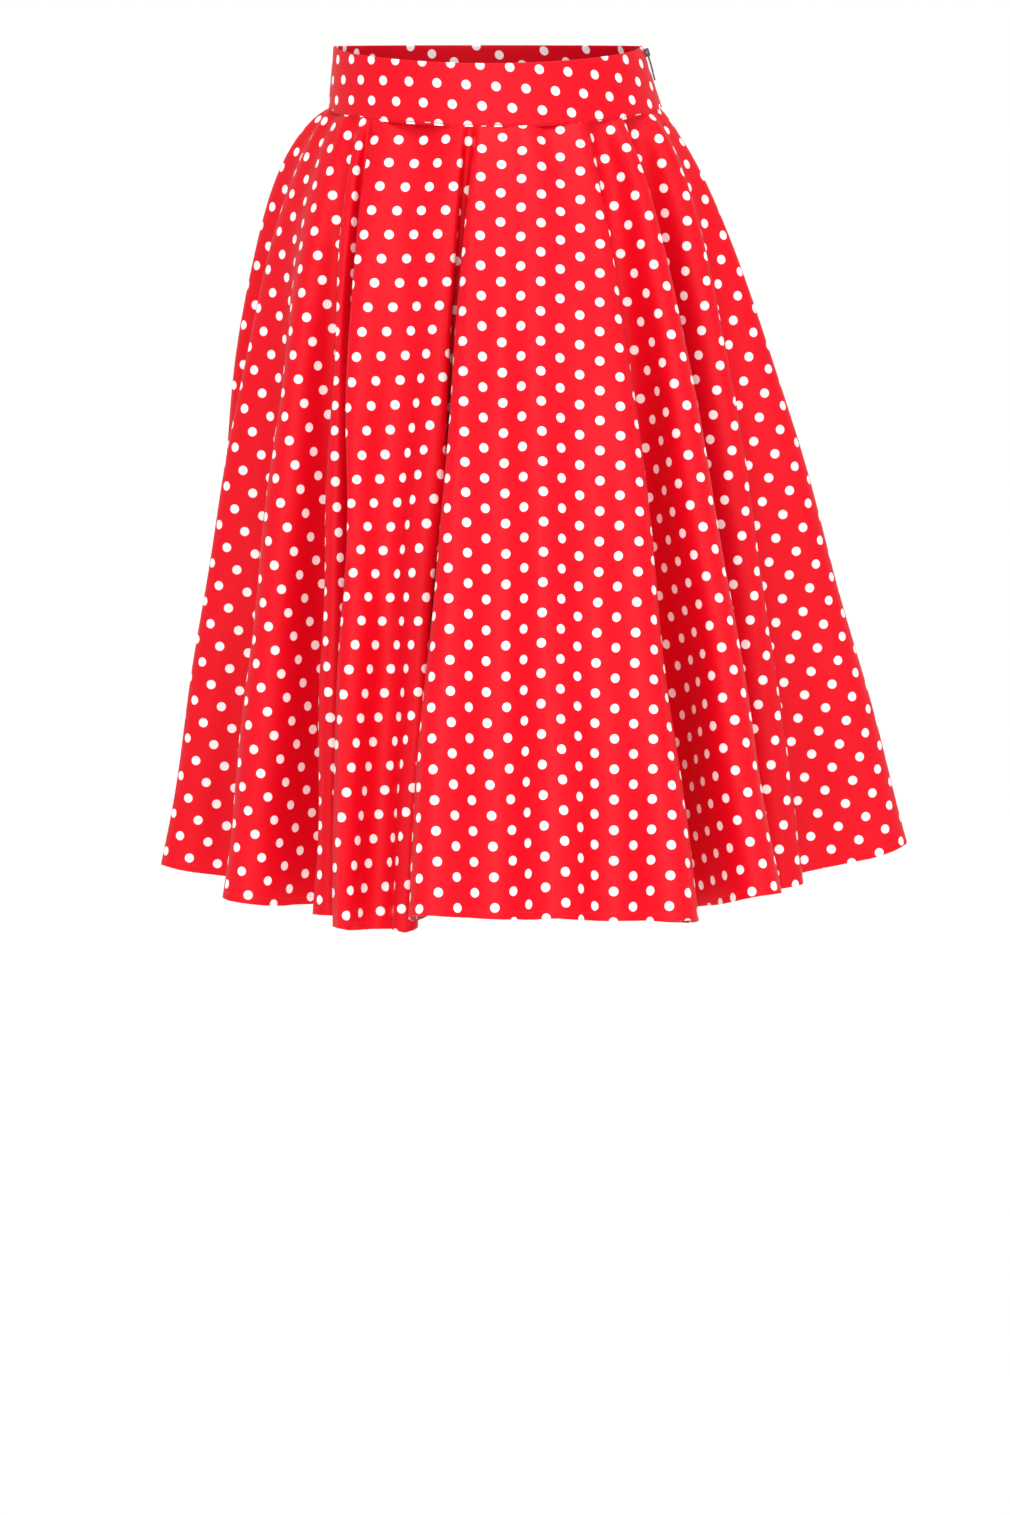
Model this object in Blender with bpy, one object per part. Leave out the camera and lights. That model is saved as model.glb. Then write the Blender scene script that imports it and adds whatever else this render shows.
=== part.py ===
"""A full-circle skirt with a contoured waistband and a concealed side zip.

The cloth is cut as two half rings and hangs in deep folds. Each level of the skirt is a plan outline
whose length is the cut's own length there, so the folds hold as much cloth as the real circle has.
Angles called phi are measured round the flat cut, in degrees: 0 is the centre front, 90 is the
wearer's left side seam (+X), 180 is the centre back. The origin is the middle of the waistband.
"""

import math
from collections import namedtuple

import bpy
import numpy as np

# Driving dimensions, in metres.
CLOTH_WALL = 0.0012
BAND_WALL = 0.0020
SEAM_GAP = 0.0003
SEAM_WIDTH = 0.277
SEAM_DEPTH = 0.212
TOP_WIDTH = 0.256
TOP_DEPTH = 0.192
TOP_LEAN = -0.006
BAND_HEIGHT = 0.050
SEAM_LEVEL = -0.025
FRONT_DIP = 0.013
SKIRT_LENGTH = 0.655
HIP_RUN = 0.085
FACING_RUN = 0.120

# The zip in the wearer's left side seam.
ZIP_LENGTH = 0.180
TAPE_WIDTH = 0.024
TAPE_WALL = 0.0010
TAPE_GAP = 0.0004
NOTCH_HEIGHT = 0.014
NOTCH_GAP = 0.0034
SLIDER_BODY = (0.0036, 0.0080, 0.0110)
NECK_WIDTH = 0.0024
NECK_HEIGHT = 0.0070
NECK_REACH = 0.0042
HINGE_STANDOFF = 0.0024
HINGE_DROP = 0.0062
HINGE_HOLE = 0.0022
PIN_DIAMETER = 0.0014
PULL_LENGTH = 0.0240
PULL_WIDTH = 0.0056
PULL_WALL = 0.0012
ARM_PAST_NECK = 0.0022
ARM_OVERLAP = 0.0006

# How finely the solids are divided.
ROWS = 13
ROW_CROWDING = 1.25
COLUMNS_PER_FOLD = 10
LEAST_COLUMNS = 2
WIDEST_FOLD = 1.4
CREST_CROWDING = 0.55
OUTLINE_SAMPLES = 96
ELLIPSE_SAMPLES = 1440
FOOT_OF_NOTCH = 0.0006
PIN_SIDES = 16
BAND_COLUMNS = 36
BAND_ROWS = 2
TAPE_ROWS_ABOVE_SEAM = (1.0, 0.6, 0.25)

# How a fold's outline fills out as its crests close up, and the least share of the cloth's own step
# that any row falls by.
ROUNDED = 0.3
SQUARER_PER_FULLNESS = 10.0
SQUARE_BELOW = 0.5
LEAST_FALL = 0.02

# How a fold's outline is found: the most turns of the search, what counts as closed (metres), how
# readily swing, lean and valley's place change, the largest change in one turn and the valley's range.
SEARCH_TURNS = 40
CLOSED = 1e-6
NUDGE = 1e-4
EASE = (1.0, 0.25, 0.12)
LARGEST_CHANGE = 0.2
LEAST_SLACK = 0.001
LEAST_STIFFNESS = 1e-9
VALLEY_RANGE = (0.3, 0.7)

# One row for each fold, round the skirt from the wearer's right side. The crest of a fold runs
# straight across the flat cut, from waist_phi at the seam to hem_phi at the hem. hem_x and hem_y are
# where it meets the hem in plan, facing is the cloth's heading there, and hip is how far the hips
# push it out beyond a straight line.
Fold = namedtuple("Fold", "name waist_phi hem_phi hem_x hem_y facing hip")
FOLDS = (
    Fold("right_side", -88.5, -89, -0.276, 0.000, -60, 0.036),
    Fold("right_hip", -66, -76.5, -0.221, -0.098, -45, 0.028),
    Fold("right_tuck", -54, -60, -0.142, -0.158, -40, 0.030),
    Fold("right_front", -41, -41, -0.122, -0.216, -36, 0.036),
    Fold("middle_right", -13, -6.4, -0.048, -0.305, -14, 0.024),
    Fold("middle_front", 10, 1.6, 0.050, -0.311, 0, 0.024),
    Fold("middle_left", 33, 10, 0.145, -0.303, 18, 0.024),
    Fold("left_front", 54, 41, 0.213, -0.200, 40, 0.038),
    Fold("left_tuck", 70, 70, 0.255, -0.085, 58, 0.042),
    Fold("left_side", 82.5, 83, 0.349, 0.000, 72, 0.034),
    Fold("left_rear", 104, 104, 0.322, 0.120, 105, 0.038),
    Fold("back_1", 127, 127, 0.240, 0.215, 130, 0.038),
    Fold("back_2", 150, 149, 0.140, 0.275, 150, 0.036),
    Fold("back_3", 174, 173, 0.020, 0.297, 175, 0.034),
    Fold("back_4", 198, 198, -0.092, 0.278, 195, 0.034),
    Fold("back_5", 221, 222, -0.182, 0.225, 218, 0.036),
    Fold("right_rear", 243, 243, -0.245, 0.150, 235, 0.040),
    Fold("right_back_hip", 257.5, 257, -0.254, 0.072, 255, 0.071),
)

# Finishes: base colour (linear), roughness, metallic.
Finish = namedtuple("Finish", "colour roughness metallic")
RED_COTTON = Finish((0.85, 0.012, 0.020), 0.75, 0.0)
BAND_COTTON = Finish((0.80, 0.010, 0.018), 0.75, 0.0)
RED_TAPE = Finish((0.45, 0.010, 0.014), 0.85, 0.0)
DARK_METAL = Finish((0.06, 0.05, 0.05), 0.35, 1.0)


def clear_scene():
    for thing in list(bpy.data.objects):
        bpy.data.objects.remove(thing)


def heading_near(angle, reference):
    """The same heading, counted in the turn that lies nearest the reference."""
    return reference + (angle - reference + 180) % 360 - 180


def ellipse_table(width, depth):
    """Points of a waist ellipse from the centre back, round by the wearer's right, with their run."""
    turn = np.linspace(-math.pi, math.pi, ELLIPSE_SAMPLES + 1)
    points = np.stack([width / 2 * np.sin(turn), -depth / 2 * np.cos(turn)], 1)
    run = np.concatenate([[0], np.cumsum(np.hypot(*np.diff(points, axis=0).T))])
    return points, run


SEAM_ELLIPSE = ellipse_table(SEAM_WIDTH, SEAM_DEPTH)
TOP_ELLIPSE = ellipse_table(TOP_WIDTH, TOP_DEPTH)
SEAM_RADIUS = SEAM_ELLIPSE[1][-1] / (2 * math.pi)


def ellipse_point(ellipse, phi):
    points, run = ellipse
    along = (np.asarray(phi) / 360 + 0.5) % 1.0 * run[-1]
    return np.stack([np.interp(along, run, points[:, 0]), np.interp(along, run, points[:, 1])], -1)


def seam_heading(phi):
    step = ellipse_point(SEAM_ELLIPSE, phi + 0.5) - ellipse_point(SEAM_ELLIPSE, phi - 0.5)
    return heading_near(math.degrees(math.atan2(step[1], step[0])), phi)


def seam_height(phi):
    return SEAM_LEVEL - FRONT_DIP * np.clip(np.cos(np.radians(phi)), 0, None)


def flat_point(phi, radius):
    return np.stack([radius * np.sin(np.radians(phi)), radius * np.cos(np.radians(phi))], -1)


def crest_phi(fold, drop):
    """Where a fold's crest line crosses the circle that lies this far below the seam."""
    start = flat_point(fold.waist_phi, SEAM_RADIUS)
    end = flat_point(fold.hem_phi, SEAM_RADIUS + SKIRT_LENGTH)
    share = drop / SKIRT_LENGTH
    for _ in range(4):
        reached = math.hypot(*(start + (end - start) * share))
        share += (SEAM_RADIUS + drop - reached) / SKIRT_LENGTH
    x, y = start + (end - start) * share
    return heading_near(math.degrees(math.atan2(x, y)), fold.waist_phi)


def crest_state(fold, drop):
    """A crest's phi, plan point and heading at one level."""
    start = seam_heading(fold.waist_phi)
    outward = np.array([math.sin(math.radians(start)), -math.cos(math.radians(start))])
    seam = ellipse_point(SEAM_ELLIPSE, fold.waist_phi)
    reach = np.array([fold.hem_x, fold.hem_y]) - seam
    share = drop / SKIRT_LENGTH
    over_hip = 1 - math.exp(-drop / HIP_RUN) - share
    point = seam + reach * share + outward * fold.hip * over_hip
    turned = 1 - math.exp(-drop / FACING_RUN)
    return crest_phi(fold, drop), point, start + (fold.facing - start) * turned


def swing(share, valley, squareness):
    """How the cloth's heading swings in to the valley and out to the next crest, from 1 to -1."""
    before = 0.5 * share / valley
    after = 0.5 + 0.5 * (share - valley) / (1 - valley)
    phase = 2 * math.pi * np.where(share < valley, before, after)
    return np.tanh(squareness * np.sin(phase)) / math.tanh(squareness)


def headings(share, ends, shape, squareness):
    """Headings in radians along one fold. shape is (swing, lean, valley's place)."""
    amount, lean, valley = shape
    steady = ends[0] + (ends[1] - ends[0]) * share
    return steady + amount * swing(share, valley, squareness) + lean * np.sin(math.pi * share)


def fold_outline(chord, length, ends):
    """Plan points of the cloth between two crests: a curve of this length that spans the chord."""
    middles = (np.arange(OUTLINE_SAMPLES) + 0.5) / OUTLINE_SAMPLES
    fullness = math.hypot(*chord) / length
    squareness = ROUNDED + SQUARER_PER_FULLNESS * max(0.0, SQUARE_BELOW - fullness)

    def path(shape):
        heading = headings(middles, ends, shape, squareness)
        return np.stack([np.cos(heading), np.sin(heading)], 1) * length / OUTLINE_SAMPLES

    ease = np.diag(EASE)
    shape = np.array([2 * math.sqrt(max(1 - fullness, LEAST_SLACK)), 0.0, 0.5])
    for _ in range(SEARCH_TURNS):
        miss = path(shape).sum(0) - chord
        if math.hypot(*miss) < CLOSED:
            break
        slopes = [(path(shape + step).sum(0) - chord - miss) / NUDGE for step in np.eye(3) * NUDGE]
        slopes = np.stack(slopes, 1)
        system = slopes @ ease @ slopes.T + np.eye(2) * LEAST_STIFFNESS
        change = -ease @ slopes.T @ np.linalg.solve(system, miss)
        shape = shape + np.clip(change, -LARGEST_CHANGE, LARGEST_CHANGE)
        shape[2] = min(max(shape[2], VALLEY_RANGE[0]), VALLEY_RANGE[1])
    points = np.concatenate([[[0.0, 0.0]], np.cumsum(path(shape), axis=0)])
    ends_share = np.linspace(0, 1, OUTLINE_SAMPLES + 1)
    return points + np.outer(ends_share, chord - points[-1])


def outline(drop):
    """The skirt's plan outline at one level: crest phis, then phi and plan point all the way round."""
    states = [crest_state(fold, drop) for fold in FOLDS]
    phi, point, heading = states[0]
    states.append((phi + 360, point, heading + 360))
    share = np.linspace(0, 1, OUTLINE_SAMPLES + 1)
    all_phi, all_points = [], []
    for (phi, point, heading), (next_phi, next_point, next_heading) in zip(states, states[1:]):
        span = phi + (next_phi - phi) * share
        if drop > 0:
            length = math.radians(next_phi - phi) * (SEAM_RADIUS + drop)
            ends = (math.radians(heading), math.radians(next_heading))
            points = point + fold_outline(next_point - point, length, ends)
        else:
            points = ellipse_point(SEAM_ELLIPSE, span)
        all_phi.append(span[:-1])
        all_points.append(points[:-1])
    all_phi.append([states[-1][0]])
    all_points.append([states[-1][1]])
    return [state[0] for state in states], np.concatenate(all_phi), np.concatenate(all_points)


def column_shares(count):
    """Shares along a fold, closer together at its crests and its valley."""
    even = np.linspace(0, 1, count + 1)
    return even - CREST_CROWDING * np.sin(4 * math.pi * even) / (4 * math.pi)


def column_stops(crests, drop):
    """The phis between which columns are spread: crests, side seams and the edges of the zip's tape."""
    tape = math.degrees(TAPE_WIDTH / 2 / (SEAM_RADIUS + drop))
    return [-90.0] + sorted([*crests[:-1], 90 - tape, 90.0, 90 + tape]) + [270.0]


def skirt_columns(crests, drop):
    """phi of every column at one level, from one side seam round to it again."""
    stops = column_stops(crests, drop)
    columns = []
    for first, last, count in zip(stops, stops[1:], COLUMN_COUNTS):
        columns.append((first + (last - first) * column_shares(count))[:-1])
    return np.concatenate(columns + [[270.0]])


def column_counts():
    """How many columns each stretch has, settled once at the hem so that every level agrees."""
    stops = column_stops(outline(SKIRT_LENGTH)[0], SKIRT_LENGTH)
    usual = 360 / len(FOLDS)
    shares = [(last - first) / usual for first, last in zip(stops, stops[1:])]
    return [max(LEAST_COLUMNS, round(COLUMNS_PER_FOLD * min(share, WIDEST_FOLD))) for share in shares]


COLUMN_COUNTS = column_counts()


def row_drops():
    return SKIRT_LENGTH * np.linspace(0, 1, ROWS + 1) ** ROW_CROWDING


def skirt_surface():
    """Outer points of the skirt, as rows by columns, with the phi of each."""
    drops = row_drops()
    phis, plans = [], []
    for drop in drops:
        crests, phi, points = outline(drop)
        columns = skirt_columns(crests, drop)
        turned = np.where(columns < phi[0], columns + 360, columns)
        plan = [np.interp(turned, phi, points[:, axis]) for axis in (0, 1)]
        phis.append(columns)
        plans.append(np.stack(plan, 1))
    phis, plans = np.array(phis), np.array(plans)
    flats = flat_point(phis, (SEAM_RADIUS + drops)[:, None])
    heights = [seam_height(phis[0])]
    for flat, flat_above, plan, plan_above in zip(flats[1:], flats, plans[1:], plans):
        cloth = ((flat - flat_above) ** 2).sum(1)
        sideways = ((plan - plan_above) ** 2).sum(1)
        fall = np.sqrt(np.maximum(cloth - sideways, LEAST_FALL * cloth))
        heights.append(heights[-1] - fall)
    surface = np.concatenate([plans, np.array(heights)[:, :, None]], 2)
    surface[0, :, 2] -= SEAM_GAP / 2
    return phis, surface


def unit(vectors):
    return vectors / np.linalg.norm(vectors, axis=-1, keepdims=True)


def round_normals(surface):
    """Outward normals of a surface that closes on itself, level in its top row."""
    ring = surface[:, :-1]
    along = np.roll(ring, -1, axis=1) - np.roll(ring, 1, axis=1)
    down = np.gradient(ring, axis=0)
    normals = unit(np.cross(along, -down))
    normals[0, :, 2] = 0
    normals = unit(normals)
    return np.concatenate([normals, normals[:, :1]], 1), unit(np.concatenate([along, along[:, :1]], 1))


def wall_mesh(outer, inner):
    """Points and faces of a closed wall between two equal grids of points."""
    rows, columns = outer.shape[:2]
    points = np.concatenate([outer.reshape(-1, 3), inner.reshape(-1, 3)])
    inside = rows * columns

    def at(row, column):
        return row * columns + column

    faces = []
    for row in range(rows - 1):
        for column in range(columns - 1):
            quad = (at(row, column), at(row + 1, column), at(row + 1, column + 1), at(row, column + 1))
            faces.append(quad)
            faces.append(tuple(inside + corner for corner in reversed(quad)))
    edge = [at(0, column) for column in range(columns)]
    edge += [at(row, columns - 1) for row in range(1, rows)]
    edge += [at(rows - 1, column) for column in reversed(range(columns - 1))]
    edge += [at(row, 0) for row in reversed(range(1, rows - 1))]
    for here, there in zip(edge, edge[1:] + edge[:1]):
        faces.append((here, there, inside + there, inside + here))
    return points, faces


def plain_material(name, finish):
    material = bpy.data.materials.new(name)
    material.use_nodes = True
    shader = material.node_tree.nodes["Principled BSDF"]
    shader.inputs["Base Color"].default_value = (*finish.colour, 1.0)
    shader.inputs["Roughness"].default_value = finish.roughness
    shader.inputs["Metallic"].default_value = finish.metallic
    return material


def add_piece(name, points, faces, finish, location=(0, 0, 0), tilt=0.0):
    mesh = bpy.data.meshes.new(name)
    mesh.from_pydata([tuple(map(float, point)) for point in points], [], faces)
    mesh.validate()
    mesh.shade_smooth()
    mesh.set_sharp_from_angle(angle=math.radians(50))
    mesh.materials.append(plain_material(name + "_finish", finish))
    piece = bpy.data.objects.new(name, mesh)
    piece.location = location
    piece.rotation_euler = (0, tilt, 0)
    bpy.context.scene.collection.objects.link(piece)
    return piece


def add_cloth(name, outer, normals, wall, finish):
    points, faces = wall_mesh(outer, outer - normals * wall)
    return add_piece(name, points, faces, finish)


def trimmed(surface, along, first, last):
    """The columns of one piece, with each end moved in by half the seam gap."""
    piece = surface[:, first : last + 1].copy()
    piece[:, 0] += along[:, first] * SEAM_GAP / 2
    piece[:, -1] -= along[:, last] * SEAM_GAP / 2
    return piece


def add_panels(phis, surface, normals, along):
    """The front and the back, each cut as a half ring and sewn to the other at the sides."""
    seam = seam_column(phis)
    for name, first, last in (("front_panel", 0, seam), ("back_panel", seam, phis.shape[1] - 1)):
        outer = trimmed(surface, along, first, last)
        add_cloth(name, outer, normals[:, first : last + 1], CLOTH_WALL, RED_COTTON)


def seam_column(phis):
    return int(np.argmin(abs(phis[0] - 90)))


def band_point(phi, height):
    """A point of the waistband's outer face, at a height above its seam."""
    share = height / BAND_HEIGHT
    low = ellipse_point(SEAM_ELLIPSE, phi)
    high = ellipse_point(TOP_ELLIPSE, phi) + np.array([TOP_LEAN, 0.0])
    plan = low + (high - low) * share
    return np.array([plan[0], plan[1], seam_height(phi) + height])


def band_normal(phi):
    step = ellipse_point(SEAM_ELLIPSE, phi + 0.5) - ellipse_point(SEAM_ELLIPSE, phi - 0.5)
    return unit(np.array([step[1], -step[0], 0.0]))


def band_levels():
    """Heights of the band's rows: its seam edge, the foot of the zip's notch and its top edge."""
    notch = BAND_HEIGHT - NOTCH_HEIGHT
    low = list(np.linspace(SEAM_GAP / 2, notch, BAND_ROWS + 1))
    return low + [notch + FOOT_OF_NOTCH, BAND_HEIGHT]


def end_gap(phi, height):
    """Half the gap at an end of the band, wider where the zip's slider passes through."""
    beside_slider = phi == 90 and height > BAND_HEIGHT - NOTCH_HEIGHT + FOOT_OF_NOTCH / 2
    return NOTCH_GAP / 2 if beside_slider else SEAM_GAP / 2


def add_band(name, first_phi, last_phi):
    """Half of the contoured waistband, from one side seam to the other."""
    phis = np.linspace(first_phi, last_phi, BAND_COLUMNS + 1)
    normals = np.array([band_normal(phi) for phi in phis])
    turn_back = np.array([(-normal[1], normal[0], 0.0) for normal in normals])
    rows = []
    for height in reversed(band_levels()):
        row = np.array([band_point(phi, height) for phi in phis])
        row[0] += turn_back[0] * end_gap(first_phi, height)
        row[-1] -= turn_back[-1] * end_gap(last_phi, height)
        rows.append(row)
    outer = np.array(rows)
    add_cloth(name, outer, np.broadcast_to(normals, outer.shape), BAND_WALL, BAND_COTTON)


def add_zip_tape(phis, surface, normals):
    """The closed zip: its tapes and coil as one strip behind the side seam, on the panels' own points."""
    seam = seam_column(phis)
    columns = slice(seam - LEAST_COLUMNS, seam + LEAST_COLUMNS + 1)
    last_row = int(np.searchsorted(row_drops(), ZIP_LENGTH))
    outer, spread = [], []
    top = BAND_HEIGHT - HINGE_DROP - SLIDER_BODY[2] / 2 - 4 * SEAM_GAP
    for height in np.array(TAPE_ROWS_ABOVE_SEAM) * top:
        normal = np.array([band_normal(phi) for phi in phis[0, columns]])
        face = np.array([band_point(phi, height) for phi in phis[0, columns]])
        outer.append(face - normal * (BAND_WALL + TAPE_GAP))
        spread.append(normal)
    for row in range(last_row + 1):
        wall = CLOTH_WALL if row else BAND_WALL
        outer.append(surface[row, columns] - normals[row, columns] * (wall + TAPE_GAP))
        spread.append(normals[row, columns])
    add_cloth("zip_tape", np.array(outer), np.array(spread), TAPE_WALL, RED_TAPE)


def box_mesh(centre, size):
    x, y, z = (np.array(size) / 2).tolist()
    signs = [(a, b, c) for a in (-1, 1) for b in (-1, 1) for c in (-1, 1)]
    points = [np.array(centre) + np.array([a * x, b * y, c * z]) for a, b, c in signs]
    faces = [(0, 1, 3, 2), (4, 6, 7, 5), (0, 4, 5, 1), (2, 3, 7, 6), (0, 2, 6, 4), (1, 5, 7, 3)]
    return points, faces


def cylinder_mesh(centre, radius, length):
    """A round bar along Y."""
    sides = PIN_SIDES
    turn = np.arange(sides) * 2 * math.pi / sides
    ring = np.stack([radius * np.cos(turn), np.zeros(sides), radius * np.sin(turn)], 1)
    offset = np.array([0, length / 2, 0])
    points = np.concatenate([ring - offset, ring + offset]) + np.array(centre)
    faces = [tuple(range(sides)), tuple(range(2 * sides - 1, sides - 1, -1))]
    for here in range(sides):
        there = (here + 1) % sides
        faces.append((there, here, sides + here, sides + there))
    return points, faces


def combine(target, operand, operation):
    """Applies a Boolean to the target with a helper that doesn't stay in the scene."""
    change = target.modifiers.new(operation.lower(), "BOOLEAN")
    change.object = operand
    change.operation = operation
    graph = bpy.context.evaluated_depsgraph_get()
    result = bpy.data.meshes.new_from_object(target.evaluated_get(graph))
    target.modifiers.clear()
    target.data = result
    bpy.data.objects.remove(operand)


def add_helper(points, faces, like):
    helper = add_piece("helper", points, faces, DARK_METAL)
    helper.matrix_world = like.matrix_world
    bpy.context.view_layer.update()
    return helper


def slider_frame():
    """The hinge's place on the band's outer face, and the band's tilt from the vertical."""
    high = band_point(90, BAND_HEIGHT)
    low = band_point(90, 0)
    tilt = math.atan2(low[0] - high[0], high[2] - low[2])
    share = HINGE_DROP / math.hypot(low[0] - high[0], high[2] - low[2])
    face = high + (low - high) * share
    outward = np.array([math.cos(tilt), 0.0, math.sin(tilt)])
    return face + outward * HINGE_STANDOFF, tilt


def add_zip_slider():
    """The slider: a body behind the seam, and a pierced neck that stands out through it."""
    hinge, tilt = slider_frame()
    back = -(HINGE_STANDOFF + BAND_WALL + SEAM_GAP)
    body = box_mesh((back - SLIDER_BODY[0] / 2, 0, 0), SLIDER_BODY)
    slider = add_piece("zip_slider", *body, DARK_METAL, location=hinge, tilt=-tilt)
    bpy.context.view_layer.update()
    reach = NECK_REACH - HINGE_STANDOFF
    neck_start = back - SLIDER_BODY[0] / 2
    neck = box_mesh(((reach + neck_start) / 2, 0, 0), (reach - neck_start, NECK_WIDTH, NECK_HEIGHT))
    combine(slider, add_helper(*neck, slider), "UNION")
    bore = cylinder_mesh((0, 0, 0), HINGE_HOLE / 2, 3 * NECK_WIDTH)
    combine(slider, add_helper(*bore, slider), "DIFFERENCE")


def add_zip_pull():
    """The pull: a pin through the slider's neck, two arms beside it and a narrow tab below."""
    hinge, tilt = slider_frame()
    lean = math.asin((HINGE_STANDOFF - PULL_WALL / 2 - 2 * SEAM_GAP) / PULL_LENGTH)
    arm_gap = NECK_WIDTH + 2 * SEAM_GAP
    arm_width = (PULL_WIDTH - arm_gap) / 2
    arm_length = NECK_HEIGHT / 2 + ARM_PAST_NECK
    arm_top = PIN_DIAMETER / 2
    tab_length = PULL_LENGTH - arm_length
    tab = box_mesh((0, 0, -arm_length - tab_length / 2), (PULL_WALL, PULL_WIDTH, tab_length))
    pull = add_piece("zip_pull", *tab, DARK_METAL, location=hinge, tilt=-tilt + lean)
    bpy.context.view_layer.update()
    for side in (-1, 1):
        offset = side * (arm_gap + arm_width) / 2
        size = (PIN_DIAMETER, arm_width, arm_top + arm_length + ARM_OVERLAP)
        centre = (0, offset, arm_top - size[2] / 2)
        combine(pull, add_helper(*box_mesh(centre, size), pull), "UNION")
    pin = cylinder_mesh((0, 0, 0), PIN_DIAMETER / 2, arm_gap + arm_width)
    combine(pull, add_helper(*pin, pull), "UNION")


def build():
    clear_scene()
    phis, surface = skirt_surface()
    normals, along = round_normals(surface)
    add_panels(phis, surface, normals, along)
    add_band("waistband_front", -90, 90)
    add_band("waistband_back", 90, 270)
    add_zip_tape(phis, surface, normals)
    add_zip_slider()
    add_zip_pull()


build()
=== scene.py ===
import math
from collections import namedtuple

import bpy
import numpy as np
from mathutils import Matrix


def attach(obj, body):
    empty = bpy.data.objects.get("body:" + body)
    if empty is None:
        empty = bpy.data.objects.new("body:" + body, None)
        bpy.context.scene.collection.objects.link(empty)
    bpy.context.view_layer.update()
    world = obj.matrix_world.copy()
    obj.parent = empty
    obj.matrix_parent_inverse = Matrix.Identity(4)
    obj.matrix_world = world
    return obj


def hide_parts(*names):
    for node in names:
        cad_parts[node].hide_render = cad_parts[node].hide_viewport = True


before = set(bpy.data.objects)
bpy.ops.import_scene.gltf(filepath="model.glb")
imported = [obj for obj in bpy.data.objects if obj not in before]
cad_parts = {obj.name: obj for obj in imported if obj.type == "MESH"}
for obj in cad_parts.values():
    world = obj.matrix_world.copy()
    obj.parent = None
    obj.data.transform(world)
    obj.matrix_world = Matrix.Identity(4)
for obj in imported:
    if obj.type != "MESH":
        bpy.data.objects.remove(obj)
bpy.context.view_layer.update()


def setInputs(tree, node, inputs):
    for key, value in inputs.items():
        if isinstance(value, bpy.types.NodeSocket):
            tree.links.new(value, node.inputs[key])
        else:
            node.inputs[key].default_value = value


# A new node, given back as its outputs.
def addNode(tree, kind, inputs=None, **settings):
    node = tree.nodes.new(kind)
    for name, value in settings.items():
        setattr(node, name, value)
    setInputs(tree, node, inputs or {})
    return node.outputs


def newMesh(name, points, edges, faces, materials=()):
    mesh = bpy.data.meshes.new(name)
    mesh.from_pydata(points, edges, faces)
    for material in materials:
        mesh.materials.append(material)
    return mesh


def addObject(name, data):
    thing = bpy.data.objects.new(name, data)
    bpy.context.scene.collection.objects.link(thing)
    return thing


# The mesh that an object has with its modifiers, which takes the object's place.
def finishedMesh(helper, name):
    graph = bpy.context.evaluated_depsgraph_get()
    made = bpy.data.meshes.new_from_object(helper.evaluated_get(graph))
    bpy.data.objects.remove(helper)
    made.name = name
    return made


def fromHex(code):
    parts = [int(code[i : i + 2], 16) / 255 for i in (1, 3, 5)]
    return tuple(c / 12.92 if c < 0.0405 else ((c + 0.055) / 1.055) ** 2.4 for c in parts) + (1.0,)


def newMaterial(name):
    material = bpy.data.materials.new(name)
    material.use_nodes = True
    return material, material.node_tree, material.node_tree.nodes["Principled BSDF"]


def blend(tree, share, low, high):
    return addNode(tree, "ShaderNodeMix", {0: share, 6: low, 7: high}, data_type="RGBA")[2]


# Noise between 0 and 1 in the object's own space.
def speckle(tree, scale, detail=2.0):
    spot = addNode(tree, "ShaderNodeTexCoord")["Object"]
    texture = {"Vector": spot, "Scale": scale, "Detail": detail}
    return addNode(tree, "ShaderNodeTexNoise", texture)["Fac"]


camera = {
    "place": (0.0082, -4.7714, 0.0634),
    "pitchDown": 7.563,
    "lens": 135.7,
    "farthest": 40000.0,
}


def addCamera():
    eye = addObject("camera", bpy.data.cameras.new("camera"))
    eye.data.lens = camera["lens"]
    eye.data.clip_end = camera["farthest"]
    eye.location = camera["place"]
    eye.rotation_euler = (math.radians(90 - camera["pitchDown"]), 0, 0)
    bpy.context.scene.camera = eye


studio = {
    "floor": -2.4,  # far enough below for the skirt's shadow to fade
    "floorSize": 60000.0,
    "paper": ("#F8F7F5", "#F7F6F4"),
    "wall": 0.93,  # how bright the white surround is at the horizon
    "ceiling": 0.62,
    "ceilingFrom": 0.2,  # the upward direction at which the surround has faded to the ceiling
    "overhead": {"strength": 1.62, "spread": 40.0, "tilt": 20.0, "turn": 8.0},  # degrees
    # name: place, size, power in watts, aimed at
    "lights": {
        "frontBox": ((-0.5, -3.7, 0.8), 2.2, 38, (0.0, 0.0, -0.35)),
        "sideBox": ((1.7, -3.4, 0.2), 1.6, 13, (0.1, -0.1, -0.4)),
    },
}


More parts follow.
